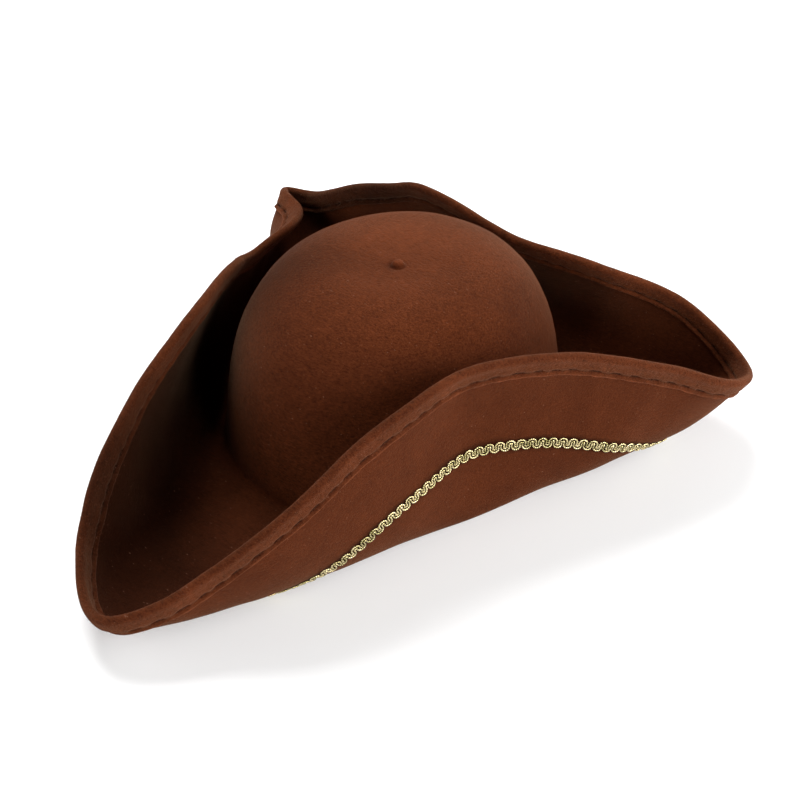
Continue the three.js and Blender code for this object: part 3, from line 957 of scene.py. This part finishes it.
# Loose wool: two browns, lighter than the felt, in small patches.
def makeWoolMaterial(name):
    material, tree, shader = newMaterial(name)
    place = addNode(tree, "ShaderNodeTexCoord").outputs["Object"]
    tone = remap(tree, noise(tree, place, 500), 0.35, 0.65)
    colour = mixColours(tree, tone, rimFuzz["colour"], rimFuzz["tipColour"])
    tree.links.new(colour, shader.inputs["Base Color"])
    shader.inputs["Roughness"].default_value = 0.9
    return material


makeFelt()
makeFuzz()
makeBinding()
makeStitches()
makeGimp()

# Soft boxes all round the table, each given by its azimuth, elevation and power.
studio = {
    "floorColour": (0.80, 0.80, 0.80, 1),
    "floorHalf": 4.0,
    # The floor's glow: from one distance to another, in metres from the middle, it grows so much; the
    # near ramp, dimmer round the hat, is a painted shadow.
    "shadowedNearGlow": (0.19, 0.3, 0.21, 0.31),
    "farGlow": (0.7, 1.8, 0.0, 0.7),
    "lampSize": 1.0,
    "lampDistance": 1.6,
    "lampAim": 0.05,
    "lamps": {
        "backLeft": (238, 52, 42),
        "frontLow": (-5, 15, 9),
        "leftLow": (-47, 15, 8),
        "rightFront": (88, 20, 25),
        "rightLow": (133, 15, 25),
    },
}


# A pale floor that glows a little more, the further it is from the hat; its weaker glow round the
# hat is a painted shadow.
def makeFloor():
    mesh = bpy.data.meshes.new("studioFloor")
    edge = studio["floorHalf"]
    corners = [(-edge, -edge, 0), (edge, -edge, 0), (edge, edge, 0), (-edge, edge, 0)]
    mesh.from_pydata(corners, [], [(0, 1, 2, 3)])
    floor = bpy.data.objects.new("studioFloor", mesh)
    bpy.context.scene.collection.objects.link(floor)
    material, tree, shader = newMaterial("paleFloor")
    place = addNode(tree, "ShaderNodeTexCoord").outputs["Object"]
    tone = remap(tree, noise(tree, place, 3, detail=2.0), 0, 1, 0.98, 1.0)
    grey = addNode(tree, "ShaderNodeCombineColor", {"Red": tone, "Green": tone, "Blue": tone})
    colour = mixColours(tree, 1.0, grey.outputs[0], studio["floorColour"], "MULTIPLY")
    tree.links.new(colour, shader.inputs["Base Color"])
    shader.inputs["Roughness"].default_value = 0.8
    shader.inputs["Emission Color"].default_value = (1, 1, 1, 1)
    away = addNode(tree, "ShaderNodeVectorMath", {0: place}, operation="LENGTH").outputs["Value"]
    # Painted shadow: the glow is weaker round the hat.
    near = remap(tree, away, *studio["shadowedNearGlow"])
    glow = calculate(tree, "ADD", near, remap(tree, away, *studio["farGlow"]))
    tree.links.new(glow, shader.inputs["Emission Strength"])
    mesh.materials.append(material)


# The placing of a light that stands at place and shines at target.
def aimed(place, target):
    back = np.array(place, dtype=float) - np.array(target, dtype=float)
    back /= np.linalg.norm(back)
    right = np.cross([0.0, 0.0, 1.0], back)
    right /= np.linalg.norm(right)
    up = np.cross(back, right)
    rows = [[right[i], up[i], back[i], place[i]] for i in range(3)]
    return Matrix([*rows, [0, 0, 0, 1]])


# The soft boxes, and a white backdrop that only the camera sees.
def makeLights():
    size = studio["lampSize"]
    for name, (azimuth, elevation, power) in studio["lamps"].items():
        turn, tip = np.radians([azimuth, elevation])
        away = np.array([math.sin(turn) * math.cos(tip), -math.cos(turn) * math.cos(tip), math.sin(tip)])
        place = away * studio["lampDistance"] + [0, 0, studio["lampAim"]]
        place[2] = max(place[2], size / 2 * math.cos(tip) + 0.02)
        lamp = bpy.data.lights.new(name + "Light", "AREA")
        lamp.energy = power
        lamp.size = size
        light = bpy.data.objects.new(name + "Light", lamp)
        light.matrix_world = aimed(place, (0, 0, studio["lampAim"]))
        bpy.context.scene.collection.objects.link(light)
    world = bpy.data.worlds.new("studioWorld")
    world.use_nodes = True
    background = world.node_tree.nodes["Background"]
    background.inputs["Color"].default_value = (1, 1, 1, 1)
    seen = world.node_tree.nodes.new("ShaderNodeLightPath").outputs["Is Camera Ray"]
    world.node_tree.links.new(seen, background.inputs["Strength"])
    bpy.context.scene.world = world


camera = {
    "azimuth": 43.4,
    "elevation": 38.1,
    "roll": -1.4,
    "distance": 920.0,
    "focalPixels": 1620.0,
    "imagePixels": 800,
    "sideways": 3.9,
    "upwards": 8.2,
    "lift": 0.6,
}


# Camera of the photograph: it looks at the head opening's middle from an azimuth and an elevation,
# is rolled about its axis, and stands a little aside and up.
def makeCamera():
    azimuth, elevation, roll = np.radians([camera["azimuth"], camera["elevation"], camera["roll"]])
    back = np.array([
        math.sin(azimuth) * math.cos(elevation),
        -math.cos(azimuth) * math.cos(elevation),
        math.sin(elevation),
    ])
    level = np.array([math.cos(azimuth), math.sin(azimuth), 0.0])
    steep = np.cross(back, level)
    right = level * math.cos(roll) + steep * math.sin(roll)
    up = steep * math.cos(roll) - level * math.sin(roll)
    eye = right * camera["sideways"] + up * camera["upwards"] + back * camera["distance"]
    eye = (eye + [0, 0, camera["lift"]] + placeInFrame) * millimetre
    lens = bpy.data.cameras.new("photoCamera")
    lens.sensor_width = 36
    lens.lens = 36 * camera["focalPixels"] / camera["imagePixels"]
    lens.clip_start = 0.01
    holder = bpy.data.objects.new("photoCamera", lens)
    rows = [[right[i], up[i], back[i], eye[i]] for i in range(3)]
    holder.matrix_world = Matrix([*rows, [0, 0, 0, 1]])
    bpy.context.scene.collection.objects.link(holder)
    bpy.context.scene.camera = holder


makeFloor()
makeLights()
makeCamera()
bpy.context.scene.view_settings.view_transform = "Standard"
print("studio made")
